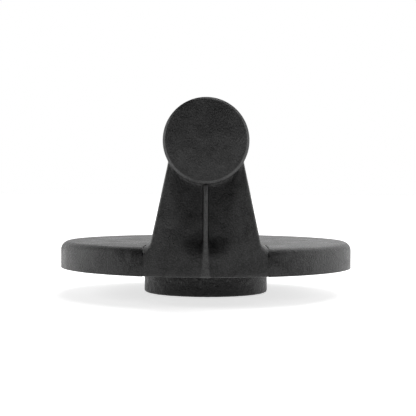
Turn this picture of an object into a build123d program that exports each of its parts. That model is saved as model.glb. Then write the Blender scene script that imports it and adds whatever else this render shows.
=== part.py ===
from build123d import *
import math
import os

# Sink plunger: a round cover with a bridge handle above it and a plug below it.
# Millimetres. +Z is up, the handle's bar runs along Y, and the origin is the centre of the
# plug's lower face, which is what the plunger stands on.

os.makedirs("parts", exist_ok=True)

# ---------------------------------------------------------------- driving sizes

# Cover: a shallow round dish, open below, closed by the base plate.
COVER_DIAMETER = 115.0
COVER_HEIGHT = 10.3
COVER_EDGE_RADIUS = 3.4
COVER_TOP = 3.0
COVER_SKIRT = 3.0
COVER_RIB = 1.8
COVER_RIB_COUNT = 12
HUB_RIB_COUNT = 6
HUB_RADIUS = 9.0
COLLAR_WALL = 3.7

# Plug: the rubber piece that enters the sink's outlet.
PLUG_DIAMETER = 49.0
PLUG_DROP = 10.2
PLUG_EDGE_RADIUS = 1.2
PLUG_NECK_STEP = 2.5
PLUG_NECK_HEIGHT = 2.5
PLUG_RECESS_RADIUS = 13.0
PLUG_RECESS_DEPTH = 6.0

# Handle: a round bar between two tapered posts, moulded as a left and a right half.
BAR_DIAMETER = 30.0
BAR_HEIGHT = 47.6
BAR_WALL = 2.8
CAP_HEAD = 3.0
CAP_PROUD = 1.0
CAP_BEVEL = 0.9
CAP_SPIGOT_LENGTH = 12.0
CAP_SPIGOT_WALL = 1.8
CAP_SPIGOT_LEAD = 0.6
POST_FOOT_HALF_WIDTH = 19.6
POST_DEPTH = 17.0
POST_MEETS_BAR_ANGLE = 61.0
POST_INTO_BAR = 1.4
POST_WALL = 2.6
POST_SOLID_HEIGHT = 13.0
WINDOW_TOP_RADIUS = 10.0
WINDOW_TOP_INTO_BAR = 6.0
FOOT_FLARE_RADIUS = 2.7
FOOT_EDGE = 0.2
SOLE_THICKNESS = 1.0
TONGUE_THICKNESS = 3.0
HOLLOW_RADIUS = 12.0
HOLLOW_DEPTH = 4.5
HOLLOW_FOOT_DEPTH = 2.2
HOLLOW_FOOT_RISE = 6.0
HOLLOW_CENTRE_X = 3.2
RIDGE_HALF_WIDTH = 0.85
RIDGE_PROUD = 0.5
RIDGE_FLARE_HALF_WIDTH = 1.7
RIDGE_FLARE_HEIGHT = 8.0

# Core tube: the stiffener inside the bar.
TUBE_WALL = 1.5
TUBE_SET_BACK = 1.0

# Base plate and its seal.
PLATE_THICKNESS = 3.0
SEAL_MEAN_RADIUS = 36.0
SEAL_WIDTH = 6.0
SEAL_GROOVE_DEPTH = 1.8
SEAL_PROUD = 0.6
SEAL_EDGE_RADIUS = 0.5
PLATE_SCREW_COUNT = 6
PLATE_SCREW_CIRCLE_RADIUS = 46.0
PLATE_SCREW_RADIUS = 1.5
PLATE_SCREW_HEAD_RADIUS = 2.9
PLATE_SCREW_HEAD = 1.7
PLATE_SCREW_LENGTH = 6.6
PLATE_SCREW_CROSS_REACH = 1.35
PLATE_SCREW_CROSS_WIDTH = 0.6
PLATE_SCREW_CROSS_DEPTH = 0.85
PLATE_SCREW_BOSS_WALL = 2.0

# Screws that hold the handle's feet to the cover, with their inserts and washers.
GRIP_SCREW_X = 10.5
GRIP_SCREW_FROM_RIM = 12.0
GRIP_SCREW_RADIUS = 2.0
GRIP_SCREW_HEAD_RADIUS = 3.6
GRIP_SCREW_HEAD = 2.4
GRIP_SCREW_HEAD_ROUND = 0.6
GRIP_SCREW_LENGTH = 12.0
GRIP_SCREW_DRIVE_RADIUS = 1.2
GRIP_SCREW_DRIVE_DEPTH = 1.2
GRIP_WASHER_RADIUS = 4.4
GRIP_WASHER_THICKNESS = 0.8
GRIP_PAD_RADIUS = 5.6
GRIP_PAD = 0.7
GRIP_INSERT_RADIUS = 3.2
GRIP_INSERT_LENGTH = 8.0
INSERT_WAIST_WIDTH = 1.0
INSERT_WAIST_DEPTH = 0.5
HEX_SIDES = 6

# Bolt that holds the plug, with its washer, its bush and the insert it screws into.
PLUG_BOLT_RADIUS = 3.0
PLUG_BOLT_FLATS = 10.0
PLUG_BOLT_HEAD = 3.7
PLUG_BOLT_LENGTH = 14.0
PLUG_WASHER_RADIUS = 12.0
PLUG_WASHER_THICKNESS = 1.5
PLUG_BUSH_WALL = 1.8
HUB_INSERT_RADIUS = 4.5
HUB_INSERT_LENGTH = 6.0

# Clearances.
FIT = 0.1
SEAT_GAP = 0.15
TUBE_GAP = 0.2
SCREW_GAP = 0.3
HOLE_END_GAP = 0.4

# ---------------------------------------------------------------- places

COVER_LOW = PLUG_DROP
COVER_HIGH = COVER_LOW + COVER_HEIGHT
COVER_RADIUS = COVER_DIAMETER / 2
CEILING = COVER_HIGH - COVER_TOP
SKIRT_INNER = COVER_RADIUS - COVER_SKIRT

PLUG_RADIUS = PLUG_DIAMETER / 2
NECK_RADIUS = PLUG_RADIUS - PLUG_NECK_STEP
PLUG_HIGH = COVER_LOW + PLUG_NECK_HEIGHT
COLLAR_INNER = NECK_RADIUS + SCREW_GAP
COLLAR_OUTER = COLLAR_INNER + COLLAR_WALL
PLATE_HIGH = COVER_LOW + PLATE_THICKNESS

BAR_RADIUS = BAR_DIAMETER / 2
BAR_Z = COVER_LOW + BAR_HEIGHT
BAR_END = COVER_RADIUS + CAP_PROUD
HALF_END = BAR_END - CAP_HEAD
CHANNEL_RADIUS = BAR_RADIUS - BAR_WALL
TUBE_RADIUS = CHANNEL_RADIUS - TUBE_GAP
TUBE_BORE = TUBE_RADIUS - TUBE_WALL

# Where a post's flank meets the bar, and how the flank leans.
MEET_X = BAR_RADIUS * math.sin(math.radians(POST_MEETS_BAR_ANGLE))
MEET_Z = BAR_Z - BAR_RADIUS * math.cos(math.radians(POST_MEETS_BAR_ANGLE))
FLANK_LEAN = (POST_FOOT_HALF_WIDTH - MEET_X) / (MEET_Z - COVER_HIGH)
FLANK_ANGLE = math.pi / 2 + math.atan(FLANK_LEAN)
FLARE_WIDTH = FOOT_FLARE_RADIUS / math.tan(FLANK_ANGLE / 2)
SOLE_HALF_WIDTH = POST_FOOT_HALF_WIDTH + FLARE_WIDTH + FOOT_EDGE

WINDOW_HALF = COVER_RADIUS - POST_DEPTH
SOLE_INNER = WINDOW_HALF - FOOT_FLARE_RADIUS
SOLE_LOW = COVER_HIGH - SOLE_THICKNESS
TONGUE_INNER = COVER_RADIUS - TONGUE_THICKNESS
NOTCH_RADIUS = TONGUE_INNER - SEAT_GAP
NOTCH_HALF_WIDTH = SOLE_HALF_WIDTH + SEAT_GAP
NOTCH_WALL_INNER = NOTCH_RADIUS - COVER_SKIRT
NOTCH_WALL_HALF_WIDTH = NOTCH_HALF_WIDTH + COVER_SKIRT

GRIP_SCREW_Y = COVER_RADIUS - GRIP_SCREW_FROM_RIM
GRIP_SCREW_PLACES = [
    (side * GRIP_SCREW_X, end * GRIP_SCREW_Y) for side in (-1, 1) for end in (-1, 1)
]
GRIP_PAD_LOW = CEILING - GRIP_PAD
GRIP_WASHER_LOW = GRIP_PAD_LOW - GRIP_WASHER_THICKNESS
GRIP_SCREW_LOW = GRIP_WASHER_LOW - GRIP_SCREW_HEAD
GRIP_INSERT_HIGH = SOLE_LOW + HOLE_END_GAP + GRIP_INSERT_LENGTH
GRIP_SCREW_TIP = GRIP_WASHER_LOW + GRIP_SCREW_LENGTH

PLUG_WASHER_LOW = PLUG_RECESS_DEPTH - PLUG_WASHER_THICKNESS
PLUG_BOLT_TIP = PLUG_WASHER_LOW + PLUG_BOLT_LENGTH
BUSH_BORE = PLUG_BOLT_RADIUS + SCREW_GAP
BUSH_RADIUS = BUSH_BORE + PLUG_BUSH_WALL

SEAL_INNER = SEAL_MEAN_RADIUS - SEAL_WIDTH / 2
SEAL_OUTER = SEAL_MEAN_RADIUS + SEAL_WIDTH / 2
PLATE_SCREW_PLACES = [
    (
        PLATE_SCREW_CIRCLE_RADIUS * math.cos(2 * math.pi * turn / PLATE_SCREW_COUNT),
        PLATE_SCREW_CIRCLE_RADIUS * math.sin(2 * math.pi * turn / PLATE_SCREW_COUNT),
    )
    for turn in range(PLATE_SCREW_COUNT)
]

# Longer than anything that a cut has to pass through.
FAR = 2 * (COVER_DIAMETER + BAR_Z + BAR_RADIUS)


# ---------------------------------------------------------------- plain shapes


def rod(radius, low, high, place=(0.0, 0.0)):
    """An upright cylinder from low to high."""
    upright = Cylinder(radius, high - low, align=(Align.CENTER, Align.CENTER, Align.MIN))
    return Pos(place[0], place[1], low) * upright


def ring(inner, outer, low, high, place=(0.0, 0.0)):
    """An upright tube from low to high."""
    return rod(outer, low, high, place) - rod(inner, low, high, place)


def bar_rod(radius, low, high):
    """A cylinder on the bar's axis from y = low to y = high."""
    level = Cylinder(radius, high - low, align=(Align.CENTER, Align.CENTER, Align.MIN))
    return Pos(0, low, BAR_Z) * Rot(-90, 0, 0) * level


def block(x, y, z):
    """A box from three (low, high) pairs."""
    box = Box(
        x[1] - x[0],
        y[1] - y[0],
        z[1] - z[0],
        align=(Align.MIN, Align.MIN, Align.MIN),
    )
    return Pos(x[0], y[0], z[0]) * box


def joined(shapes):
    """All the shapes as one."""
    whole = shapes[0]
    for shape in shapes[1:]:
        whole = whole + shape
    return whole


def both_ends(shape):
    """The shape and its mirror image across the plane y = 0."""
    return shape + mirror(shape, about=Plane.XZ)


# ---------------------------------------------------------------- handle


def post_outline():
    """Both posts' outline across the bar, from the sole up into the bar."""
    top_x = MEET_X - FLANK_LEAN * POST_INTO_BAR
    top_z = MEET_Z + POST_INTO_BAR
    corners = [
        (-SOLE_HALF_WIDTH, SOLE_LOW),
        (SOLE_HALF_WIDTH, SOLE_LOW),
        (SOLE_HALF_WIDTH, COVER_HIGH),
        (POST_FOOT_HALF_WIDTH, COVER_HIGH),
        (top_x, top_z),
        (-top_x, top_z),
        (-POST_FOOT_HALF_WIDTH, COVER_HIGH),
        (-SOLE_HALF_WIDTH, COVER_HIGH),
    ]
    outline = Plane.XZ * make_face(Polyline(*corners, close=True))
    at_feet = [
        vertex
        for vertex in outline.vertices()
        if abs(vertex.Z - COVER_HIGH) < FOOT_EDGE / 2
        and abs(abs(vertex.X) - POST_FOOT_HALF_WIDTH) < FOOT_EDGE / 2
    ]
    return fillet(at_feet, FOOT_FLARE_RADIUS)


def window():
    """The finger gap below the bar, with its rounded corners, right through along X."""
    high = BAR_Z - BAR_RADIUS + WINDOW_TOP_INTO_BAR
    sheet = Rectangle(2 * WINDOW_HALF, high - COVER_HIGH, align=(Align.CENTER, Align.MIN))
    lower = sheet.vertices().group_by(Axis.Y)[0]
    sheet = fillet(lower, FOOT_FLARE_RADIUS)
    upper = sheet.vertices().group_by(Axis.Y)[-1]
    sheet = fillet(upper, WINDOW_TOP_RADIUS)
    gap = extrude(Plane.YZ * Pos(0, COVER_HIGH) * sheet, amount=FAR / 2, both=True)
    under = block((-FAR, FAR), (-SOLE_INNER, SOLE_INNER), (0, COVER_HIGH + FIT))
    return gap + under


def front_hollow():
    """The scoops either side of the front ridge, deepest under the bar, with rounded feet."""
    rise = BAR_Z - BAR_RADIUS - COVER_HIGH
    lean = math.degrees(math.atan((HOLLOW_DEPTH - HOLLOW_FOOT_DEPTH) / (rise - HOLLOW_FOOT_RISE)))
    axis_y = COVER_RADIUS + HOLLOW_RADIUS - HOLLOW_FOOT_DEPTH
    roller = Cylinder(HOLLOW_RADIUS, FAR, align=(Align.CENTER, Align.CENTER, Align.MIN))
    roller = roller + Sphere(HOLLOW_RADIUS)
    foot = Pos(HOLLOW_CENTRE_X, -axis_y, COVER_HIGH + HOLLOW_FOOT_RISE)
    right = foot * Rot(-lean, 0, 0) * roller
    right = right & block((RIDGE_HALF_WIDTH, FAR), (-FAR, 0), (COVER_LOW, BAR_Z))
    return right + mirror(right, about=Plane.YZ)


def front_ridge():
    """The raised line down the middle of the front post, wider at the cover's lower edge."""
    top = BAR_Z - BAR_RADIUS
    corners = [
        (-RIDGE_FLARE_HALF_WIDTH, COVER_LOW),
        (RIDGE_FLARE_HALF_WIDTH, COVER_LOW),
        (RIDGE_HALF_WIDTH, COVER_LOW + RIDGE_FLARE_HEIGHT),
        (RIDGE_HALF_WIDTH, top),
        (-RIDGE_HALF_WIDTH, top),
        (-RIDGE_HALF_WIDTH, COVER_LOW + RIDGE_FLARE_HEIGHT),
    ]
    sheet = Plane.XZ * make_face(Polyline(*corners, close=True))
    depth = RIDGE_PROUD + TONGUE_THICKNESS / 2
    return Pos(0, depth - RIDGE_PROUD - COVER_RADIUS, 0) * extrude(sheet, amount=depth)


def front_tongue():
    """The part of the foot that comes down over the cover's rim."""
    band = ring(TONGUE_INNER, COVER_RADIUS, COVER_LOW, COVER_HIGH)
    return band & block((-SOLE_HALF_WIDTH, SOLE_HALF_WIDTH), (-FAR, 0), (0, FAR))


def post_pocket():
    """The space inside the front post, above its solid foot."""
    low = COVER_HIGH + POST_SOLID_HEIGHT
    flank = POST_WALL * math.sqrt(1 + FLANK_LEAN**2)
    low_x = POST_FOOT_HALF_WIDTH - FLANK_LEAN * POST_SOLID_HEIGHT - flank
    corners = [
        (-low_x, low),
        (low_x, low),
        (MEET_X - flank, MEET_Z),
        (-MEET_X + flank, MEET_Z),
    ]
    sheet = Plane.XZ * make_face(Polyline(*corners, close=True))
    front = COVER_RADIUS - HOLLOW_DEPTH - POST_WALL
    back = WINDOW_HALF + POST_WALL
    return Pos(0, -back, 0) * extrude(sheet, amount=front - back)


def insert_hole(place):
    """The hole in a foot for an insert, with room in it for the screw's tip."""
    hole = rod(GRIP_INSERT_RADIUS + FIT / 2, SOLE_LOW, GRIP_INSERT_HIGH + FIT, place)
    tip = rod(GRIP_SCREW_RADIUS + SCREW_GAP, SOLE_LOW, GRIP_SCREW_TIP + HOLE_END_GAP, place)
    return hole + tip


def whole_grip():
    """The handle before it is split into its two halves."""
    posts = extrude(post_outline(), amount=COVER_RADIUS, both=True)
    posts = posts & rod(COVER_RADIUS, 0, FAR)
    posts = posts - window()
    grip = posts + both_ends(front_tongue())
    grip = grip - both_ends(front_hollow())
    grip = grip + both_ends(front_ridge())
    seat = bar_rod(BAR_RADIUS + SEAT_GAP, HALF_END, FAR)
    grip = grip - both_ends(seat)
    grip = grip + bar_rod(BAR_RADIUS, -HALF_END, HALF_END)
    grip = grip - both_ends(post_pocket())
    grip = grip - bar_rod(CHANNEL_RADIUS, -FAR, FAR)
    for place in GRIP_SCREW_PLACES:
        grip = grip - insert_hole(place)
    return grip


def grip_half(grip, side):
    """One moulded half of the handle: side is 1 for the right half, -1 for the left."""
    if side > 0:
        return grip & block((0, FAR), (-FAR, FAR), (-FAR, FAR))
    return grip & block((-FAR, 0), (-FAR, FAR), (-FAR, FAR))


def end_cap(end):
    """A bar's end cap: a bevelled round head and a hollow spigot inside the core tube."""
    head = Cylinder(BAR_RADIUS, CAP_HEAD, align=(Align.CENTER, Align.CENTER, Align.MIN))
    head = chamfer(head.edges().group_by(Axis.Z)[-1], CAP_BEVEL)
    spigot_radius = TUBE_BORE - FIT
    spigot = Cylinder(
        spigot_radius, CAP_SPIGOT_LENGTH, align=(Align.CENTER, Align.CENTER, Align.MAX)
    )
    spigot = chamfer(spigot.edges().group_by(Axis.Z)[0], CAP_SPIGOT_LEAD)
    inside = Cylinder(
        spigot_radius - CAP_SPIGOT_WALL,
        CAP_SPIGOT_LENGTH,
        align=(Align.CENTER, Align.CENTER, Align.MAX),
    )
    cap = head + (spigot - inside)
    return Pos(0, end * HALF_END, BAR_Z) * Rot(-90 * end, 0, 0) * cap


def core_tube():
    """The metal tube that stiffens the bar."""
    reach = HALF_END - TUBE_SET_BACK
    return bar_rod(TUBE_RADIUS, -reach, reach) - bar_rod(TUBE_BORE, -reach, reach)


# ---------------------------------------------------------------- cover


def cover_outside():
    """The cover's outer shape, rounded at its upper edge."""
    puck = rod(COVER_RADIUS, COVER_LOW, COVER_HIGH)
    return fillet(puck.edges().group_by(Axis.Z)[-1], COVER_EDGE_RADIUS)


def notch_walls():
    """The walls that pass behind the feet's tongues."""
    band = ring(NOTCH_WALL_INNER, SKIRT_INNER + COVER_SKIRT / 2, COVER_LOW, CEILING)
    width = (-NOTCH_WALL_HALF_WIDTH, NOTCH_WALL_HALF_WIDTH)
    return band & block(width, (-FAR, FAR), (0, FAR))


def ribs(count, inner, outer, low):
    """Radial ribs under the cover's top."""
    half = COVER_RIB / 2
    rib = block((inner, outer), (-half, half), (low, CEILING + FIT))
    return joined([Rot(0, 0, 360.0 * turn / count) * rib for turn in range(count)])


def plate_screw_boss(place):
    """The boss that a base plate screw is driven into."""
    return rod(PLATE_SCREW_RADIUS + PLATE_SCREW_BOSS_WALL, PLATE_HIGH, CEILING + FIT, place)


def cover_disc():
    """The round cover, with ribs, hub and collar inside it."""
    dish = cover_outside() - rod(SKIRT_INNER, 0, CEILING)
    dish = dish + notch_walls()
    dish = dish + ribs(
        COVER_RIB_COUNT, COLLAR_OUTER - COLLAR_WALL / 2, NOTCH_WALL_INNER + FIT, PLATE_HIGH
    )
    dish = dish + ribs(HUB_RIB_COUNT, 0, COLLAR_OUTER - COLLAR_WALL / 2, PLUG_HIGH)
    dish = dish + ring(COLLAR_INNER, COLLAR_OUTER, COVER_LOW, CEILING + FIT)
    dish = dish + rod(HUB_RADIUS, PLUG_HIGH, CEILING + FIT)
    for place in PLATE_SCREW_PLACES:
        dish = dish + plate_screw_boss(place)
    for place in GRIP_SCREW_PLACES:
        dish = dish + rod(GRIP_PAD_RADIUS, GRIP_PAD_LOW, CEILING + FIT, place)
        dish = dish - rod(GRIP_PAD_RADIUS, 0, GRIP_PAD_LOW, place)
        dish = dish - rod(GRIP_SCREW_RADIUS + SCREW_GAP, 0, FAR, place)
    for place in PLATE_SCREW_PLACES:
        tip = COVER_LOW + PLATE_SCREW_LENGTH + HOLE_END_GAP
        dish = dish - rod(PLATE_SCREW_RADIUS + FIT / 2, 0, tip, place)
    insert_high = PLUG_HIGH + HUB_INSERT_LENGTH + HOLE_END_GAP
    dish = dish - rod(HUB_INSERT_RADIUS + FIT / 2, 0, insert_high)
    notch_width = (-NOTCH_HALF_WIDTH, NOTCH_HALF_WIDTH)
    past_rim = block(notch_width, (-FAR, FAR), (0, FAR)) - rod(NOTCH_RADIUS, 0, FAR)
    sole_pocket = block(notch_width, (SOLE_INNER - SEAT_GAP, FAR), (SOLE_LOW, FAR))
    return dish - past_rim - both_ends(sole_pocket)


def base_plate():
    """The flat ring that closes the cover's underside, clear of the handle's screw heads."""
    plate = ring(COLLAR_OUTER + SEAT_GAP, SKIRT_INNER - SEAT_GAP, COVER_LOW, PLATE_HIGH)
    width = NOTCH_WALL_HALF_WIDTH + SEAT_GAP
    past_walls = block((-width, width), (-FAR, FAR), (0, FAR))
    plate = plate - (past_walls - rod(NOTCH_WALL_INNER - SEAT_GAP, 0, FAR))
    groove = ring(
        SEAL_INNER - FIT, SEAL_OUTER + FIT, COVER_LOW, COVER_LOW + SEAL_GROOVE_DEPTH
    )
    plate = plate - groove
    for place in PLATE_SCREW_PLACES:
        plate = plate - plate_screw_shape(place, SCREW_GAP / 2)
    for place in GRIP_SCREW_PLACES:
        room = GRIP_WASHER_RADIUS + SCREW_GAP
        plate = plate - rod(room, GRIP_SCREW_LOW - SEAT_GAP, FAR, place)
    return plate


def plate_screw_shape(place, room):
    """A countersunk screw, grown by some room on its sides."""
    head = Cone(
        PLATE_SCREW_HEAD_RADIUS + room,
        PLATE_SCREW_RADIUS + room,
        PLATE_SCREW_HEAD,
        align=(Align.CENTER, Align.CENTER, Align.MIN),
    )
    shank = rod(PLATE_SCREW_RADIUS + room, COVER_LOW, COVER_LOW + PLATE_SCREW_LENGTH, place)
    return Pos(place[0], place[1], COVER_LOW) * head + shank


def base_plate_screws():
    """The countersunk screws of the base plate, with a cross recess."""
    screws = []
    reach = PLATE_SCREW_CROSS_REACH
    half = PLATE_SCREW_CROSS_WIDTH / 2
    deep = COVER_LOW + PLATE_SCREW_CROSS_DEPTH
    for place in PLATE_SCREW_PLACES:
        screw = plate_screw_shape(place, 0)
        across = block((-reach, reach), (-half, half), (COVER_LOW, deep))
        along = block((-half, half), (-reach, reach), (COVER_LOW, deep))
        cross = across + along
        screws.append(screw - Pos(place[0], place[1], 0) * cross)
    return Compound(children=screws)


def rim_seal():
    """The rubber ring that lies on the sink around its outlet."""
    low = COVER_LOW - SEAL_PROUD
    seal = ring(SEAL_INNER, SEAL_OUTER, low, COVER_LOW + SEAL_GROOVE_DEPTH)
    return fillet(seal.edges().group_by(Axis.Z)[0], SEAL_EDGE_RADIUS)


# ---------------------------------------------------------------- handle's fasteners


def grip_screws():
    """The four screws that come up through the cover into the handle's feet."""
    screws = []
    for place in GRIP_SCREW_PLACES:
        head = rod(GRIP_SCREW_HEAD_RADIUS, GRIP_SCREW_LOW, GRIP_WASHER_LOW, place)
        head = fillet(head.edges().group_by(Axis.Z)[0], GRIP_SCREW_HEAD_ROUND)
        shank = rod(GRIP_SCREW_RADIUS, GRIP_WASHER_LOW, GRIP_SCREW_TIP, place)
        drive = extrude(
            RegularPolygon(GRIP_SCREW_DRIVE_RADIUS, HEX_SIDES), amount=GRIP_SCREW_DRIVE_DEPTH
        )
        screws.append(head + shank - Pos(place[0], place[1], GRIP_SCREW_LOW) * drive)
    return Compound(children=screws)


def grip_washers():
    """The washers under those screws' heads."""
    bore = GRIP_SCREW_RADIUS + SCREW_GAP
    return Compound(
        children=[
            ring(bore, GRIP_WASHER_RADIUS, GRIP_WASHER_LOW, GRIP_PAD_LOW, place)
            for place in GRIP_SCREW_PLACES
        ]
    )


def insert(radius, bore, low, high, place=(0.0, 0.0)):
    """A threaded insert with a waist between its two knurled bands."""
    body = ring(bore, radius, low, high, place)
    middle = (low + high) / 2
    half = INSERT_WAIST_WIDTH / 2
    waist = ring(radius - INSERT_WAIST_DEPTH, radius + FIT, middle - half, middle + half, place)
    return body - waist


def grip_inserts():
    """The threaded inserts in the handle's feet."""
    low = SOLE_LOW + HOLE_END_GAP
    return Compound(
        children=[
            insert(GRIP_INSERT_RADIUS, GRIP_SCREW_RADIUS + FIT / 2, low, GRIP_INSERT_HIGH, place)
            for place in GRIP_SCREW_PLACES
        ]
    )


# ---------------------------------------------------------------- plug and its fasteners


def plug():
    """The rubber plug, with a neck that enters the cover's collar and a recess below."""
    body = rod(PLUG_RADIUS, 0, COVER_LOW)
    body = fillet(body.edges().group_by(Axis.Z)[0], PLUG_EDGE_RADIUS)
    body = body + rod(NECK_RADIUS, COVER_LOW, PLUG_HIGH)
    body = body - rod(PLUG_RECESS_RADIUS, 0, PLUG_RECESS_DEPTH)
    return body - rod(BUSH_RADIUS + FIT, 0, PLUG_HIGH)


def plug_bush():
    """The sleeve that stops the bolt from crushing the plug."""
    return ring(BUSH_BORE, BUSH_RADIUS, PLUG_RECESS_DEPTH, PLUG_HIGH)


def plug_washer():
    """The wide washer in the plug's recess."""
    return ring(BUSH_BORE, PLUG_WASHER_RADIUS, PLUG_WASHER_LOW, PLUG_RECESS_DEPTH)


def plug_bolt():
    """The hexagon bolt in the middle of the plug."""
    corner_radius = PLUG_BOLT_FLATS / math.sqrt(3)
    head_low = PLUG_WASHER_LOW - PLUG_BOLT_HEAD
    hexagon = extrude(RegularPolygon(corner_radius, HEX_SIDES), amount=PLUG_BOLT_HEAD)
    crown = Cone(
        PLUG_BOLT_FLATS / 2,
        PLUG_BOLT_FLATS / 2 + PLUG_BOLT_HEAD * math.sqrt(3),
        PLUG_BOLT_HEAD,
        align=(Align.CENTER, Align.CENTER, Align.MIN),
    )
    head = Pos(0, 0, head_low) * (hexagon & crown)
    shank = rod(PLUG_BOLT_RADIUS, PLUG_WASHER_LOW, PLUG_BOLT_TIP)
    return head + shank


def hub_insert():
    """The threaded insert in the cover's hub."""
    bore = PLUG_BOLT_RADIUS + FIT / 2
    return insert(HUB_INSERT_RADIUS, bore, PLUG_HIGH, PLUG_HIGH + HUB_INSERT_LENGTH)


# ---------------------------------------------------------------- all pieces

grip = whole_grip()

pieces = {
    "left_grip_half": grip_half(grip, -1),
    "right_grip_half": grip_half(grip, 1),
    "front_end_cap": end_cap(-1),
    "rear_end_cap": end_cap(1),
    "core_tube": core_tube(),
    "cover_disc": cover_disc(),
    "base_plate": base_plate(),
    "base_plate_screws": base_plate_screws(),
    "rim_seal": rim_seal(),
    "grip_screws": grip_screws(),
    "grip_screw_washers": grip_washers(),
    "grip_inserts": grip_inserts(),
    "plug": plug(),
    "plug_bush": plug_bush(),
    "plug_washer": plug_washer(),
    "plug_bolt": plug_bolt(),
    "hub_insert": hub_insert(),
}

for name, shape in pieces.items():
    export_step(shape, f"parts/{name}.step")
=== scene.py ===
"""Looks for the sink plunger: moulded handle halves, bevelled end caps, round cover, base plate,
seal, rubber plug and their fasteners, on a pale floor in soft light. Metres, +Z up."""

import math

import bmesh
import bpy
from mathutils import Matrix, Vector, noise


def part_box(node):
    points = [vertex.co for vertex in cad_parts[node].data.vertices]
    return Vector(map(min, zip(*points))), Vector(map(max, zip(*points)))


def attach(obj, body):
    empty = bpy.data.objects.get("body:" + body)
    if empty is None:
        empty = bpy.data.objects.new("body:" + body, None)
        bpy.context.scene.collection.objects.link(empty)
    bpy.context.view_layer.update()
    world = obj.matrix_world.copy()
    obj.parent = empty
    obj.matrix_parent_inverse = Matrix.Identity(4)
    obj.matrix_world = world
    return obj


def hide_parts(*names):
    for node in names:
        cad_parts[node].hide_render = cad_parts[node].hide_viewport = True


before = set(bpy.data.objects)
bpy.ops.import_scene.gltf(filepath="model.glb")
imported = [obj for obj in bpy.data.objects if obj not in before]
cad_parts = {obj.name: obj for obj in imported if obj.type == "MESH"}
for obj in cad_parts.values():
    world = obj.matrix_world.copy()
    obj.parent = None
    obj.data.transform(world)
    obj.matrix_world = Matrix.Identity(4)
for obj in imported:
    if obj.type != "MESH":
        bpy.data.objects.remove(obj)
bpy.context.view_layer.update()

bl_info = {
    "name": "Sink Plunger Builder",
    "version": (1, 0, 0),
    "blender": (4, 5, 0),
    "location": "View3D > Sidebar > Plunger",
    "description": "Builds the visible pieces of a sink plunger around its CAD frame",
    "category": "Object",
}

BODY = "root"
MM = 0.001
NEARLY_ZERO = 1e-7
WELD = 1e-6

# ---------------------------------------------------------------- sizes read from the frame

COVER_LOW_CORNER, COVER_HIGH_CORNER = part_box("cover_disc")
GRIP_LOW_CORNER, GRIP_HIGH_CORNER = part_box("right_grip_half")
CAP_LOW_CORNER, CAP_HIGH_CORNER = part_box("front_end_cap")
TUBE_LOW_CORNER, TUBE_HIGH_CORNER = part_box("core_tube")
PLATE_SCREW_LOW_CORNER, PLATE_SCREW_HIGH_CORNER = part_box("base_plate_screws")
SEAL_LOW_CORNER, SEAL_HIGH_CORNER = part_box("rim_seal")
PLUG_HIGH_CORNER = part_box("plug")[1]
WASHER_LOW_CORNER, WASHER_HIGH_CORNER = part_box("plug_washer")
BOLT_LOW_CORNER, BOLT_HIGH_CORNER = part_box("plug_bolt")
BUSH_HIGH_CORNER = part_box("plug_bush")[1]

COVER_LOW = COVER_LOW_CORNER.z
COVER_HIGH = COVER_HIGH_CORNER.z
COVER_RADIUS = round(COVER_HIGH_CORNER.x, 4)
BAR_RADIUS = (CAP_HIGH_CORNER.z - CAP_LOW_CORNER.z) / 2
BAR_Z = (CAP_HIGH_CORNER.z + CAP_LOW_CORNER.z) / 2
BAR_END = -CAP_LOW_CORNER.y
RIDGE_PROUD = 0.5 * MM
CAP_HEAD = BAR_END - GRIP_HIGH_CORNER.y + RIDGE_PROUD
SOLE_HALF_WIDTH = GRIP_HIGH_CORNER.x
SOLE_OVERLAP = 0.13 * MM
TUBE_RADIUS = (TUBE_HIGH_CORNER.z - TUBE_LOW_CORNER.z) / 2
PLUG_RADIUS = PLUG_HIGH_CORNER.x

PLATE_SCREW_COUNT = 6
PLATE_SCREW_TURN = 1.1
PLATE_SCREW_HEAD_RADIUS = 2.9 * MM
PLATE_SCREW_SHANK_RADIUS = 1.5 * MM
BOLT_SHANK_RADIUS = 3.0 * MM
WASHER_BORE_RADIUS = 3.3 * MM
SEAL_WIDTH = 6.0 * MM
RIDGE_WIDENS_OVER = 8.0 * MM


def length_property(name, description, default, low=0.0, high=1.0):
    """A size in metres that a user may change."""
    return bpy.props.FloatProperty(
        name=name,
        description=description,
        default=default,
        min=low,
        max=high,
        precision=5,
        subtype="DISTANCE",
        unit="LENGTH",
    )


def colour_property(name, description, default):
    """A colour that a user may change."""
    return bpy.props.FloatVectorProperty(
        name=name,
        description=description,
        default=default,
        size=3,
        min=0.0,
        max=1.0,
        subtype="COLOR",
    )


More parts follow.
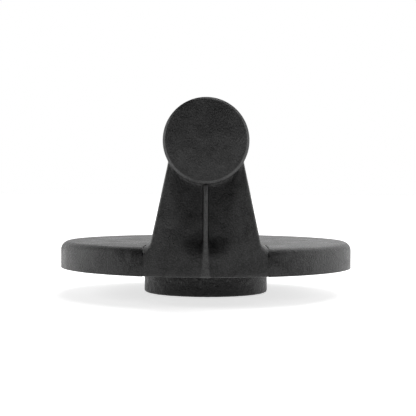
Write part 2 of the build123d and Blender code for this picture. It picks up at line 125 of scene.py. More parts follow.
class PlungerSizes(bpy.types.PropertyGroup):
    """The sizes of the pieces that Blender shapes."""

    detail: length_property("Detail", "Spacing of the moulded handle's mesh", 0.6 * MM, 0.3 * MM)
    post_foot_half_width: length_property(
        "Post foot half width", "Half of a post's width at the cover", 19.7 * MM
    )
    post_meets_bar: bpy.props.FloatProperty(
        name="Post meets bar",
        description="Angle round the bar, from straight down, where a post's flank meets it",
        default=math.radians(61.5),
        subtype="ANGLE",
        unit="ROTATION",
    )
    post_depth: length_property("Post depth", "A post's depth along the bar", 17.0 * MM)
    foot_flare: length_property("Foot flare", "Radius of the fillet round a post's foot", 2.7 * MM)
    edge_round: length_property("Edge round", "Rounding of the posts' upright edges", 1.4 * MM)
    window_corner: length_property(
        "Window corner", "Radius of the finger gap's upper corners", 10.0 * MM
    )
    window_into_bar: length_property(
        "Window into bar", "How far the finger gap's outline runs up into the bar", 6.0 * MM
    )
    hollow_depth: length_property("Hollow depth", "Depth of the front hollows, under the bar", 4.2 * MM)
    hollow_foot_depth: length_property(
        "Hollow foot depth", "Depth of the hollows where their rounded feet start", 2.2 * MM
    )
    hollow_foot_rise: length_property(
        "Hollow foot rise", "Height above the cover at which a hollow's rounded foot starts", 6.0 * MM
    )
    hollow_radius: length_property("Hollow radius", "Radius of the front hollows", 12.0 * MM)
    hollow_centre: length_property(
        "Hollow centre", "Distance of a hollow's axis from the seam", 3.2 * MM
    )
    hollow_softness: length_property(
        "Hollow softness", "How widely the hollows' edges are rounded", 3.0 * MM
    )
    ridge_half_width: length_property("Ridge half width", "Half width of the raised seam", 0.85 * MM)
    ridge_foot_half_width: length_property(
        "Ridge foot half width", "Half width of the raised seam at the cover's lower edge", 1.7 * MM
    )
    ridge_proud: length_property("Ridge height", "How far the raised seam stands out", RIDGE_PROUD)
    cover_edge_radius: length_property("Cover edge", "Rounding of the cover's upper edge", 3.4 * MM)
    cap_bevel: length_property("Cap bevel", "Width of an end cap's bevel", 0.9 * MM)
    plug_edge_radius: length_property("Plug edge", "Rounding of the plug's lower edge", 1.2 * MM)


class PlungerColours(bpy.types.PropertyGroup):
    """The colours of the pieces."""

    grip: colour_property("Handle", "Black plastic of the handle", (0.0030, 0.0030, 0.0031))
    cap: colour_property("End caps", "Black plastic of the end caps", (0.0075, 0.0075, 0.0076))
    cover: colour_property("Cover", "Black plastic of the cover", (0.0034, 0.0034, 0.0035))
    plate: colour_property("Base plate", "Black plastic of the base plate", (0.0080, 0.0080, 0.0083))
    plug: colour_property("Plug", "Black rubber of the plug", (0.0060, 0.0060, 0.0061))
    seal: colour_property("Seal", "Black rubber of the seal", (0.0080, 0.0080, 0.0080))
    steel: colour_property("Steel", "Stainless steel", (0.58, 0.58, 0.59))
    aluminium: colour_property("Aluminium", "Aluminium of the core tube", (0.70, 0.71, 0.72))
    brass: colour_property("Brass", "Brass of the inserts", (0.70, 0.50, 0.24))
    floor: colour_property("Floor", "The floor", (0.93, 0.93, 0.93))


# ---------------------------------------------------------------- node materials


class Finish:
    """A node material with short calls for the patterns that plastics, rubber and metals need."""

    def __init__(self, name, colour):
        self.material = bpy.data.materials.new(name)
        self.material.use_nodes = True
        self.material.diffuse_color = (*colour, 1.0)
        self.nodes = self.material.node_tree.nodes
        self.links = self.material.node_tree.links
        self.nodes.clear()
        self.output = self.nodes.new("ShaderNodeOutputMaterial")
        self.shader = self.nodes.new("ShaderNodeBsdfPrincipled")
        self.links.new(self.shader.outputs["BSDF"], self.output.inputs["Surface"])
        self.place = self.nodes.new("ShaderNodeTexCoord").outputs["Object"]

    def join(self, value, socket):
        """Links a socket, or sets a number."""
        if isinstance(value, bpy.types.NodeSocket):
            self.links.new(value, socket)
        else:
            socket.default_value = value

    def set(self, **values):
        """Sets or links the shader's own inputs, named with underscores for spaces."""
        for label, value in values.items():
            self.join(value, self.shader.inputs[label.replace("_", " ")])

    def maths(self, operation, *values, clamp=False):
        """One Math node."""
        node = self.nodes.new("ShaderNodeMath")
        node.operation = operation
        node.use_clamp = clamp
        for value, socket in zip(values, node.inputs):
            self.join(value, socket)
        return node.outputs[0]

    def stretched(self, scale, turn=(0.0, 0.0, 0.0)):
        """The object's coordinates scaled, and turned first."""
        node = self.nodes.new("ShaderNodeMapping")
        self.links.new(self.place, node.inputs["Vector"])
        node.inputs["Scale"].default_value = scale
        node.inputs["Rotation"].default_value = turn
        return node.outputs["Vector"]

    def axes(self):
        """The three coordinates of the place."""
        node = self.nodes.new("ShaderNodeSeparateXYZ")
        self.links.new(self.place, node.inputs[0])
        return tuple(node.outputs)

    def sum_of_squares(self, first, second):
        """The squares of two numbers added up."""
        squares = [self.maths("MULTIPLY", value, value) for value in (first, second)]
        return self.maths("ADD", *squares)

    def noise(self, size, detail=2.0, roughness=0.5, place=None, distortion=0.0):
        """Noise with features of that size in metres."""
        node = self.nodes.new("ShaderNodeTexNoise")
        self.links.new(place or self.place, node.inputs["Vector"])
        node.inputs["Scale"].default_value = 1.0 / size
        node.inputs["Detail"].default_value = detail
        node.inputs["Roughness"].default_value = roughness
        node.inputs["Distortion"].default_value = distortion
        return node.outputs["Fac"]

    def cells(self, size):
        """Voronoi distance with cells of that size in metres."""
        node = self.nodes.new("ShaderNodeTexVoronoi")
        self.links.new(self.place, node.inputs["Vector"])
        node.inputs["Scale"].default_value = 1.0 / size
        return node.outputs["Distance"]

    def ranged(self, value, low, high, new_low, new_high, smooth=True):
        """The value carried from one range to another, held at its ends."""
        node = self.nodes.new("ShaderNodeMapRange")
        node.interpolation_type = "SMOOTHSTEP" if smooth else "LINEAR"
        for label, number in (
            ("From Min", low),
            ("From Max", high),
            ("To Min", new_low),
            ("To Max", new_high),
        ):
            node.inputs[label].default_value = number
        self.join(value, node.inputs["Value"])
        return node.outputs["Result"]

    def blended(self, share, first, second):
        """Two colours mixed by a share."""
        node = self.nodes.new("ShaderNodeMix")
        node.data_type = "RGBA"
        self.join(share, node.inputs["Factor"])
        ends = [socket for socket in node.inputs if socket.type == "RGBA"]
        for value, socket in zip((first, second), ends):
            self.join(value if isinstance(value, bpy.types.NodeSocket) else (*value, 1.0), socket)
        return next(socket for socket in node.outputs if socket.type == "RGBA")

    def bump(self, height, depth, strength=1.0, below=None):
        """A Bump node for a height from 0 to 1 of that depth in metres."""
        node = self.nodes.new("ShaderNodeBump")
        node.inputs["Strength"].default_value = strength
        node.inputs["Distance"].default_value = depth
        self.links.new(height, node.inputs["Height"])
        if below is not None:
            self.links.new(below, node.inputs["Normal"])
        return node.outputs["Normal"]

    def scratches(self, turn, length, width, share):
        """Thin lines one way: 1 on a line. share is how much of the surface has them."""
        lines = self.noise(1.0, 1.0, 0.5, self.stretched((1 / length, 1 / width, 1 / length), turn))
        patch = self.noise(0.02, 2.0)
        fine = self.ranged(lines, 0.66, 0.74, 0.0, 1.0)
        where = self.ranged(patch, 0.62 - share, 0.72 - share, 0.0, 1.0)
        return self.maths("MULTIPLY", fine, where)


def lighter(colour, factor):
    """The colour made lighter or darker."""
    return tuple(min(1.0, channel * factor) for channel in colour)


def moulded_plastic(
    name, colour, grain=0.6 * MM, mottle=1.0, rough=0.36, reflection=0.5, pale=None
):
    """Black moulded plastic: eroded grain, cloudy mottling, scuffs, and paler places of painted
    highlight and scuffing.

    pale, if given, takes the Finish and returns how pale each place is made, from 0 to 1: painted
    highlight on raised edges, and scuffs."""
    finish = Finish(name, colour)
    cloud = finish.noise(8 * MM, 4.0, 0.62, distortion=0.5)
    speck = finish.noise(0.9 * MM, 3.0, 0.75)
    dust = finish.ranged(speck, 0.5, 0.78, 0.0, 1.0)
    tone = finish.ranged(cloud, 0.32, 0.68, 0.0, 0.5)
    tone = finish.maths("ADD", tone, finish.maths("MULTIPLY", dust, 0.7 * mottle), clamp=True)
    body = finish.blended(tone, lighter(colour, 0.5), lighter(colour, 3.4))
    scuff = finish.scratches((0.3, 0.9, -0.7), 5 * MM, 0.3 * MM, 0.03)
    body = finish.blended(finish.maths("MULTIPLY", scuff, 0.4), body, lighter(colour, 5.0))
    gloss = finish.ranged(cloud, 0.3, 0.7, rough - 0.04 * mottle, rough + 0.08 * mottle)
    gloss = finish.maths("ADD", gloss, finish.ranged(speck, 0.35, 0.7, -0.05, 0.08))
    pits = finish.noise(grain, 3.0, 0.7)
    waves = finish.noise(6 * MM, 2.0, 0.5)
    normal = finish.bump(waves, 0.3 * MM, 0.6)
    normal = finish.bump(pits, 0.24 * MM * mottle, 0.7, normal)
    normal = finish.bump(scuff, 0.03 * MM, -0.5, normal)
    shine = finish.ranged(cloud, 0.34, 0.66, reflection - 0.06 * mottle, reflection + 0.06 * mottle)
    fleck = finish.ranged(finish.noise(0.45 * MM, 3.0, 0.7), 0.36, 0.66, -0.13, 0.13)
    shine = finish.maths("ADD", shine, fleck)
    if pale is not None:
        # Painted highlight on raised edges, with scuffs where given: these places are made paler and a
        # little rougher.
        highlight_and_scuffs = finish.maths("MULTIPLY", pale(finish), finish.ranged(speck, 0.3, 0.62, 0.45, 1.0))
        body = finish.blended(highlight_and_scuffs, body, (0.05, 0.05, 0.05))
        gloss = finish.maths("ADD", gloss, finish.maths("MULTIPLY", highlight_and_scuffs, 0.15), clamp=True)
    finish.set(Base_Color=body, Roughness=gloss, Normal=normal, Specular_IOR_Level=shine, IOR=1.47)
    return finish.material


def open_rubber(name, colour, pore=0.9 * MM, depth=0.2 * MM, painted_shade_below=None):
    """Black rubber with an open, slightly porous skin and a dusty bloom, and, if asked, painted shade
    that darkens it towards the bottom.
    """
    finish = Finish(name, colour)
    cloud = finish.noise(5 * MM, 5.0, 0.65, distortion=0.6)
    pitted = finish.ranged(finish.cells(pore), 0.1, 0.4, 0.0, 1.0)
    where = finish.ranged(finish.noise(2.2 * MM, 3.0), 0.42, 0.6, 0.25, 1.0)
    skin = finish.noise(0.6 * MM, 4.0, 0.75)
    bloom = finish.maths("MULTIPLY", finish.ranged(skin, 0.42, 0.7, 0.0, 1.0), pitted)
    bloom = finish.maths("MULTIPLY", bloom, finish.ranged(cloud, 0.35, 0.65, 0.35, 1.0))
    # Painted shade: below that height the bloom and its shine fade out, so the rubber darkens towards
    # the floor.
    if painted_shade_below is not None:
        high = finish.axes()[2]
        bloom = finish.maths("MULTIPLY", bloom, finish.ranged(high, 0.0, painted_shade_below, 0.0, 1.3))
    body = finish.blended(bloom, lighter(colour, 0.5), lighter(colour, 5.0))
    gloss = finish.ranged(cloud, 0.3, 0.7, 0.36, 0.52)
    normal = finish.bump(skin, 0.2 * MM, 0.7)
    normal = finish.bump(finish.maths("MULTIPLY", pitted, where), depth, 0.9, normal)
    shine = finish.ranged(bloom, 0.0, 0.8, 0.3, 0.62)
    finish.set(Base_Color=body, Roughness=gloss, Normal=normal, Specular_IOR_Level=shine, IOR=1.5)
    return finish.material


def turned_metal(name, colour, rough=0.3, lines=(0.12 * MM, 4 * MM, 4 * MM)):
    """Turned or drawn metal: fine lines, tone shifts and a few dull spots."""
    finish = Finish(name, colour)
    streak = finish.noise(1.0, 3.0, 0.6, finish.stretched(tuple(1 / length for length in lines)))
    cloud = finish.noise(5 * MM, 3.0, 0.6)
    body = finish.blended(finish.ranged(cloud, 0.3, 0.7, 0.0, 1.0), lighter(colour, 0.8), colour)
    gloss = finish.ranged(streak, 0.3, 0.7, rough - 0.08, rough + 0.12)
    gloss = finish.maths("ADD", gloss, finish.ranged(cloud, 0.5, 0.8, 0.0, 0.15), clamp=True)
    normal = finish.bump(streak, 0.02 * MM, 0.5)
    finish.set(Base_Color=body, Roughness=gloss, Normal=normal, Metallic=1.0)
    return finish.material


def grip_plastic(name, colour, sizes):
    """The handle's plastic, with a painted highlight along the raised seam down the front and the rear.
    """

    # Painted highlight: the raised seam's outer face, below the bar, is made paler, as if it caught the
    # light.
    def seam(finish):
        across, along, high = finish.axes()
        out = finish.maths("SQRT", finish.sum_of_squares(across, along))
        low = finish.ranged(high, COVER_LOW, COVER_LOW + RIDGE_WIDENS_OVER, 1.0, 0.0, smooth=False)
        spread = finish.maths("MULTIPLY", low, sizes.ridge_foot_half_width - sizes.ridge_half_width)
        side = finish.maths("SUBTRACT", finish.maths("ABSOLUTE", across), spread)
        reach = sizes.ridge_half_width
        on_seam = finish.ranged(side, reach - 0.45 * MM, reach + 0.35 * MM, 1.0, 0.0)
        front = finish.ranged(out, COVER_RADIUS - 0.6 * MM, COVER_RADIUS - 0.1 * MM, 0.0, 1.0)
        under = finish.ranged(high, BAR_Z - BAR_RADIUS - 5 * MM, BAR_Z - BAR_RADIUS + 1 * MM, 1.0, 0.0)
        return finish.maths("MULTIPLY", finish.maths("MULTIPLY", on_seam, front), under)

    return moulded_plastic(name, colour, mottle=1.2, pale=seam)


def cap_plastic(name, colour):
    """The caps' plastic, with a painted highlight on the bevel ring, strongest at its lower side, and a
    few slanting scuffs at one side.
    """

    scuff_across, scuff_up = 12.2 * MM, 0.6 * MM
    scuff_spacing, scuff_slope = 1.3 * MM, 0.75

    def bevel(finish):
        across, along, high = finish.axes()
        up = finish.maths("SUBTRACT", high, BAR_Z)
        out = finish.maths("SQRT", finish.sum_of_squares(across, up))
        # Painted highlight: the bevel ring is made paler, most at its lower side, where light from the
        # floor falls on it.
        ring = finish.ranged(out, BAR_RADIUS - 1.15 * MM, BAR_RADIUS - 0.6 * MM, 0.0, 1.0)
        ring = finish.maths("MULTIPLY", ring, finish.ranged(up, -BAR_RADIUS, BAR_RADIUS, 0.9, 0.15))
        ring = finish.maths("MULTIPLY", ring, finish.ranged(finish.noise(5 * MM), 0.3, 0.6, 0.5, 1.0))
        slant = finish.maths("SUBTRACT", across, finish.maths("MULTIPLY", up, scuff_slope))
        lines = finish.maths("SINE", finish.maths("MULTIPLY", slant, 2 * math.pi / scuff_spacing))
        lines = finish.ranged(lines, 0.86, 1.0, 0.0, 1.0)
        aside = finish.maths("SUBTRACT", across, scuff_across)
        above = finish.maths("SUBTRACT", up, scuff_up)
        away = finish.maths("SQRT", finish.sum_of_squares(aside, above))
        near = finish.ranged(away, 1.0 * MM, 2.8 * MM, 0.9, 0.0)
        return finish.maths("MAXIMUM", ring, finish.maths("MULTIPLY", lines, near))

    return moulded_plastic(name, colour, mottle=0.7, rough=0.38, reflection=0.53, pale=bevel)


def cover_plastic(name, colour):
    """The cover's plastic: coarser grain, cloudy mottling and rubbed patches."""
    return moulded_plastic(name, colour, grain=0.7 * MM, mottle=1.4, reflection=0.41)


def pale_floor(name, colour):
    """The floor's even, very faintly uneven paint."""
    finish = Finish(name, colour)
    cloud = finish.noise(0.4, 2.0)
    body = finish.blended(cloud, lighter(colour, 0.985), lighter(colour, 1.01))
    glow = finish.blended(cloud, lighter(colour, 0.99), lighter(colour, 1.01))
    finish.set(Base_Color=body, Roughness=0.9, Specular_IOR_Level=0.0)
    finish.set(Emission_Color=glow, Emission_Strength=0.75)
    return finish.material


# ---------------------------------------------------------------- Geometry Nodes


class Field:
    """A number that changes from place to place in a Geometry Nodes tree, with arithmetic."""

    def __init__(self, tree, socket):
        self.tree = tree
        self.socket = socket

    def calculate(self, operation, *others):
        """One Math node with this field first."""
        node = self.tree.nodes.new("ShaderNodeMath")
        node.operation = operation
        self.tree.links.new(self.socket, node.inputs[0])
        for other, socket in zip(others, node.inputs[1:]):
            if isinstance(other, Field):
                self.tree.links.new(other.socket, socket)
            else:
                socket.default_value = other
        return Field(self.tree, node.outputs[0])

    def __add__(self, other):
        return self.calculate("ADD", other)

    def __sub__(self, other):
        return self.calculate("SUBTRACT", other)

    def __mul__(self, other):
        return self.calculate("MULTIPLY", other)

    def __truediv__(self, other):
        return self.calculate("DIVIDE", other)

    def __neg__(self):
        return self.calculate("MULTIPLY", -1.0)

    def size(self):
        """The number without its sign."""
        return self.calculate("ABSOLUTE")

    def least(self, other):
        return self.calculate("MINIMUM", other)

    def most(self, other):
        return self.calculate("MAXIMUM", other)

    def with_side(self, other):
        """The long side of a right triangle with these two short sides."""
        return (self * self + other * other).calculate("SQRT")

    def roundly_both(self, other, radius):
        """What two solids share, with an exact round between square faces."""
        first, second = self + radius, other + radius
        outside = first.most(0.0).with_side(second.most(0.0))
        return outside + first.most(second).least(0.0) - radius

    def softly_both(self, other, radius):
        """What two solids share, with the edge between them rounded."""
        return self.calculate("SMOOTH_MAX", other, radius)

    def softly_either(self, other, radius):
        """Two solids together, with a soft fillet between them."""
        return self.calculate("SMOOTH_MIN", other, radius)

    def filleted(self, other, radius):
        """Two solids together, with a fillet of that exact radius between square faces."""
        into_first = (-self + radius).most(0.0)
        into_second = (-other + radius).most(0.0)
        return self.least(other).most(radius) - into_first.with_side(into_second)


def new_tree(name, inputs):
    """A Geometry Nodes tree and its inputs: each label has a socket type and a default."""
    tree = bpy.data.node_groups.new(name, "GeometryNodeTree")
    geometry = "NodeSocketGeometry"
    tree.interface.new_socket("Geometry", in_out="INPUT", socket_type=geometry)
    for label, (kind, default) in inputs.items():
        socket = tree.interface.new_socket(label, in_out="INPUT", socket_type=kind)
        if default is not None:
            socket.default_value = default
    tree.interface.new_socket("Geometry", in_out="OUTPUT", socket_type=geometry)
    start = tree.nodes.new("NodeGroupInput")
    return tree, start.outputs


def end_tree(tree, geometry, material):
    """Ends a tree in Realize Instances and Set Material."""
    realize = tree.nodes.new("GeometryNodeRealizeInstances")
    paint = tree.nodes.new("GeometryNodeSetMaterial")
    end = tree.nodes.new("NodeGroupOutput")
    tree.links.new(geometry, realize.inputs[0])
    tree.links.new(realize.outputs[0], paint.inputs["Geometry"])
    tree.links.new(material, paint.inputs["Material"])
    tree.links.new(paint.outputs[0], end.inputs[0])


def grown(name, tree, values):
    """Runs a tree once and returns an object that holds the plain mesh it made."""
    piece = bpy.data.objects.new(name, bpy.data.meshes.new(name))
    bpy.context.scene.collection.objects.link(piece)
    modifier = piece.modifiers.new(name, "NODES")
    modifier.node_group = tree
    for item in tree.interface.items_tree:
        if item.in_out == "INPUT" and item.name in values:
            modifier[item.identifier] = values[item.name]
    evaluated = piece.evaluated_get(bpy.context.evaluated_depsgraph_get())
    made = bpy.data.meshes.new_from_object(evaluated)
    piece.modifiers.clear()
    piece.data = made
    made.name = name
    made.shade_smooth()
    return piece


FLOAT = "NodeSocketFloat"


def handle_tree(sizes):
    """The tree that moulds the handle from its rule: bar, posts, feet, raised seam, hollows.

    Inside the tree every length is in millimetres."""
    bar_gap = 0.15
    channel_gap = 0.2
    wall = 2.6
    post_top_below_axis = 6.0
    sole_thickness = 1.0
    tongue_thickness = 3.0
    ridge_root = 2.0
    ridge_into_bar = 1.0
    pocket_floor = 13.0
    pocket_top_below_axis = 7.7
    bar_fillet = 2.4
    skin_density = 2.0
    meet_x = BAR_RADIUS * math.sin(sizes.post_meets_bar)
    meet_z = BAR_Z - BAR_RADIUS * math.cos(sizes.post_meets_bar)
    lean = (sizes.post_foot_half_width - meet_x) / (meet_z - COVER_HIGH)
    inputs = {
        "Bar radius": (FLOAT, BAR_RADIUS / MM),
        "Bar height": (FLOAT, BAR_Z / MM),
        "Bar half length": (FLOAT, (BAR_END - CAP_HEAD) / MM),
        "Channel radius": (FLOAT, TUBE_RADIUS / MM + channel_gap),
        "Cover radius": (FLOAT, COVER_RADIUS / MM),
        "Cover top": (FLOAT, COVER_HIGH / MM),
        "Cover bottom": (FLOAT, COVER_LOW / MM),
        "Foot half width": (FLOAT, sizes.post_foot_half_width / MM),
        "Flank lean": (FLOAT, lean),
        "Sole half width": (FLOAT, (SOLE_HALF_WIDTH + SOLE_OVERLAP) / MM),
        "Cover edge": (FLOAT, sizes.cover_edge_radius / MM),
        "Window half length": (FLOAT, (COVER_RADIUS - sizes.post_depth) / MM),
        "Window top": (FLOAT, (BAR_Z - BAR_RADIUS + sizes.window_into_bar) / MM),
        "Window corner": (FLOAT, sizes.window_corner / MM),
        "Foot flare": (FLOAT, sizes.foot_flare / MM),
        "Edge round": (FLOAT, sizes.edge_round / MM),
        "Hollow depth": (FLOAT, sizes.hollow_depth / MM),
        "Hollow radius": (FLOAT, sizes.hollow_radius / MM),
        "Hollow centre": (FLOAT, sizes.hollow_centre / MM),
        "Hollow softness": (FLOAT, sizes.hollow_softness / MM),
        "Hollow foot depth": (FLOAT, sizes.hollow_foot_depth / MM),
        "Hollow foot rise": (FLOAT, sizes.hollow_foot_rise / MM),
        "Ridge half width": (FLOAT, sizes.ridge_half_width / MM),
        "Ridge foot half width": (FLOAT, sizes.ridge_foot_half_width / MM),
        "Ridge height": (FLOAT, sizes.ridge_proud / MM),
        "Material": ("NodeSocketMaterial", None),
    }
    tree, given = new_tree("handle", inputs)
    value = {label: Field(tree, given[label]) for label in inputs if label != "Material"}

    position = tree.nodes.new("GeometryNodeInputPosition")
    split = tree.nodes.new("ShaderNodeSeparateXYZ")
    tree.links.new(position.outputs[0], split.inputs[0])
    x, y, z = (Field(tree, out) * (1 / MM) for out in split.outputs)
    across, along = x.size(), y.size()
    from_centre = x.with_side(y)
    above_cover = z - value["Cover top"]
    above_bar_axis = z - value["Bar height"]
    from_bar_axis = x.with_side(above_bar_axis)

    # The two posts as one tapered wall, with the finger gap cut through it.
    flank = across - value["Foot half width"] + above_cover * value["Flank lean"]
    tapered = flank.softly_both(above_bar_axis + post_top_below_axis, 1.0)
    corner = value["Window corner"]
    gap_side = (along - value["Window half length"] + corner).most(0.0)
    gap_top = (z - value["Window top"] + corner).most(0.0)
    gap = gap_side.with_side(gap_top) - corner
    gap_inside = (along - value["Window half length"]).most(z - value["Window top"]).least(0.0)
    gap = gap + (gap_inside + corner).least(0.0)
    posts = tapered.roundly_both(-gap, value["Edge round"])

    # The hollows on either side of the seam: leaning, round-footed troughs.
    rise = value["Bar height"] - value["Bar radius"] - value["Cover top"]
    slope = (value["Hollow depth"] - value["Hollow foot depth"]) / (rise - value["Hollow foot rise"])
    axis_high = (slope * slope + 1.0).calculate("INVERSE_SQRT")
    axis_in = -slope * axis_high
    above_foot = above_cover - value["Hollow foot rise"]
    past_foot = along - value["Cover radius"] - value["Hollow radius"] + value["Hollow foot depth"]
    up_axis = (past_foot * axis_in + above_foot * axis_high).most(0.0)
    from_axis = (past_foot - up_axis * axis_in).with_side(above_foot - up_axis * axis_high)
    hollow = from_axis.with_side(across - value["Hollow centre"]) - value["Hollow radius"]
    hollow = hollow.softly_both(value["Ridge half width"] - across, 0.5)

    # The feet: a sole let into the cover, and a tongue down over its rim.
    sole = (across - value["Sole half width"]).most(above_cover)
    sole = sole.most(value["Window half length"] - value["Foot flare"] - along)
    past_edge = (from_centre - value["Cover radius"] + value["Cover edge"]).most(0.0)
    over_edge = (above_cover + value["Cover edge"]).most(0.0)
    sole = sole.most(past_edge.with_side(over_edge) - value["Cover edge"])
    feet = posts.filleted(sole, value["Foot flare"])
    feet = feet.softly_both(from_centre - value["Cover radius"], value["Edge round"])
    feet = feet.softly_both(-hollow, value["Hollow softness"])
    sole_low = -above_cover - sole_thickness
    tongue_back = value["Cover radius"] - from_centre - tongue_thickness
    tongue_low = (value["Cover bottom"] - z).most(tongue_back)
    feet = feet.most(sole_low.least(tongue_low))

    # The raised seam down the front, wider at its foot.
    widen = (-(z - value["Cover bottom"]) / (RIDGE_WIDENS_OVER / MM) + 1.0).most(0.0)
    ridge_width = value["Ridge half width"] + widen * (
        value["Ridge foot half width"] - value["Ridge half width"]
    )
    ridge = (across - ridge_width).softly_both(
        from_centre - value["Cover radius"] - value["Ridge height"], 0.7
    )
    ridge = ridge.most(value["Cover radius"] - ridge_root - from_centre)
    ridge = ridge.most(value["Cover bottom"] - z)
    ridge = ridge.most(above_bar_axis + value["Bar radius"] - ridge_into_bar)
    feet = feet.softly_either(ridge, 0.6)

    # The bar, joined to the posts with a soft fillet, and the room for the end cap.
    bar = from_bar_axis - value["Bar radius"]
    grip = feet.softly_either(bar, bar_fillet)
    past_half = value["Bar half length"] - along
    seat = (from_bar_axis - value["Bar radius"] - bar_gap).softly_both(past_half, 0.2)
    grip = grip.softly_both(-seat, 0.3)
    grip = grip.softly_both(bar.most(along - value["Bar half length"]).least(feet), 0.3)

    # The channel for the core tube, and the pocket in each post.
    grip = grip.most(value["Channel radius"] - from_bar_axis)
    pocket = (flank + wall + 0.1).most(along - value["Cover radius"] + value["Hollow depth"] + wall)
    pocket = pocket.most(value["Window half length"] + wall - along)
    pocket = pocket.most(-above_cover + pocket_floor)
    pocket = pocket.most(above_bar_axis + pocket_top_below_axis)
    grip = grip.most(-pocket)
    solid = -grip + skin_density

    margin = Vector((1.5, 1.5, 1.5)) * MM
    low, high = GRIP_LOW_CORNER - margin, GRIP_HIGH_CORNER + margin
    low.x = -high.x
    cube = tree.nodes.new("GeometryNodeVolumeCube")
    cube.inputs["Min"].default_value = low
    cube.inputs["Max"].default_value = high
    for label, length in zip("XYZ", high - low):
        cube.inputs["Resolution " + label].default_value = round(length / sizes.detail) + 1
    tree.links.new(solid.socket, cube.inputs["Density"])
    skin = tree.nodes.new("GeometryNodeVolumeToMesh")
    skin.inputs["Threshold"].default_value = skin_density
    tree.links.new(cube.outputs[0], skin.inputs["Volume"])
    end_tree(tree, skin.outputs[0], given["Material"])
    return tree


def dotted_tree(name, count, radius):
    """The tree that sets a piece at each point of a circle, each turned further than the last."""
    inputs = {
        "Count": ("NodeSocketInt", count),
        "Circle radius": (FLOAT, radius),
        "Piece": ("NodeSocketObject", None),
        "Material": ("NodeSocketMaterial", None),
    }
    tree, given = new_tree(name, inputs)
    circle = tree.nodes.new("GeometryNodeMeshCircle")
    tree.links.new(given["Count"], circle.inputs["Vertices"])
    tree.links.new(given["Circle radius"], circle.inputs["Radius"])
    piece = tree.nodes.new("GeometryNodeObjectInfo")
    tree.links.new(given["Piece"], piece.inputs["Object"])
    copies = tree.nodes.new("GeometryNodeInstanceOnPoints")
    tree.links.new(circle.outputs["Mesh"], copies.inputs["Points"])
    tree.links.new(piece.outputs["Geometry"], copies.inputs["Instance"])
    index = tree.nodes.new("GeometryNodeInputIndex")
    angle = Field(tree, index.outputs[0]) * PLATE_SCREW_TURN
    spin = tree.nodes.new("ShaderNodeCombineXYZ")
    tree.links.new(angle.socket, spin.inputs["Z"])
    tree.links.new(spin.outputs[0], copies.inputs["Rotation"])
    end_tree(tree, copies.outputs[0], given["Material"])
    return tree


# ---------------------------------------------------------------- meshes


def new_piece(name, mesh, material, nodes):
    """A finished mesh as a piece of the plunger that stands for its CAD nodes."""
    piece = bpy.data.objects.new(name, mesh)
    bpy.context.scene.collection.objects.link(piece)
    return finish_piece(piece, material, nodes)


def finish_piece(piece, material, nodes):
    """Gives a piece its material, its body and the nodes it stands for."""
    piece.data.materials.clear()
    piece.data.materials.append(material)
    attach(piece, BODY)
    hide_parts(*nodes)
    return piece


def paint_node(name, material):
    """Gives a CAD node that stays its material."""
    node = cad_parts[name]
    node.data.materials.clear()
    node.data.materials.append(material)


def rounded_profile(corners, segments=6):
    """A profile of (radius, height) points from corners of (radius, height, rounding)."""
    points = []
    for index, (x, z, rounding) in enumerate(corners):
        here = Vector((x, z))
        if not rounding or index in (0, len(corners) - 1):
            points.append(here)
            continue
        before = Vector(corners[index - 1][:2]) - here
        after = Vector(corners[index + 1][:2]) - here
        half = before.angle(after) / 2
        reach = min(rounding / math.tan(half), 0.49 * before.length, 0.49 * after.length)
        start, end = before.normalized() * reach, after.normalized() * reach
        for step in range(segments + 1):
            share = step / segments
            first, second = start.lerp(Vector((0, 0)), share), Vector((0, 0)).lerp(end, share)
            points.append(here + first.lerp(second, share))
    return points


def skinned(shape, pairs, around, name, degrees=35.0):
    """A mesh of faces between pairs of rows of points, each row a ring or a single point."""
    for low, high in pairs:
        for turn in range(around):
            following = (turn + 1) % around
            ring = [low[turn % len(low)], low[following % len(low)]]
            ring += [high[following % len(high)], high[turn % len(high)]]
            face = list(dict.fromkeys(ring))
            if len(face) > 2:
                shape.faces.new(face)
    bmesh.ops.remove_doubles(shape, verts=shape.verts, dist=NEARLY_ZERO)
    bmesh.ops.recalc_face_normals(shape, faces=shape.faces)
    mesh = bpy.data.meshes.new(name)
    shape.to_mesh(mesh)
    shape.free()
    smooth_by_angle(mesh, degrees)
    return mesh


def turned(name, corners, around=192, segments=6, longest=None):
    """A closed shape turned about the z axis from a profile whose ends may lie on the axis."""
    profile = rounded_profile(corners, segments)
    if longest:
        profile = divided(profile, longest)
    rows = []
    shape = bmesh.new()
    angles = [2 * math.pi * turn / around for turn in range(around)]
    for radius, height in profile:
        if radius < NEARLY_ZERO:
            rows.append([shape.verts.new((0, 0, height))])
            continue
        places = [(radius * math.cos(angle), radius * math.sin(angle), height) for angle in angles]
        rows.append([shape.verts.new(place) for place in places])
    pairs = list(zip(rows, rows[1:]))
    if corners[0][0] > NEARLY_ZERO:
        pairs.append((rows[-1], rows[0]))
    return skinned(shape, pairs, around, name)


def divided(profile, longest):
    """The profile with extra points, so that no step is longer than that."""
    points = [profile[0]]
    for start, end in zip(profile, profile[1:]):
        steps = max(1, math.ceil((end - start).length / longest))
        points += [start.lerp(end, (step + 1) / steps) for step in range(steps)]
    return points


def smooth_by_angle(mesh, degrees=35.0):
    """Smooth shading, with edges sharper than that angle kept sharp."""
    mesh.shade_smooth()
    mesh.set_sharp_from_angle(angle=math.radians(degrees))


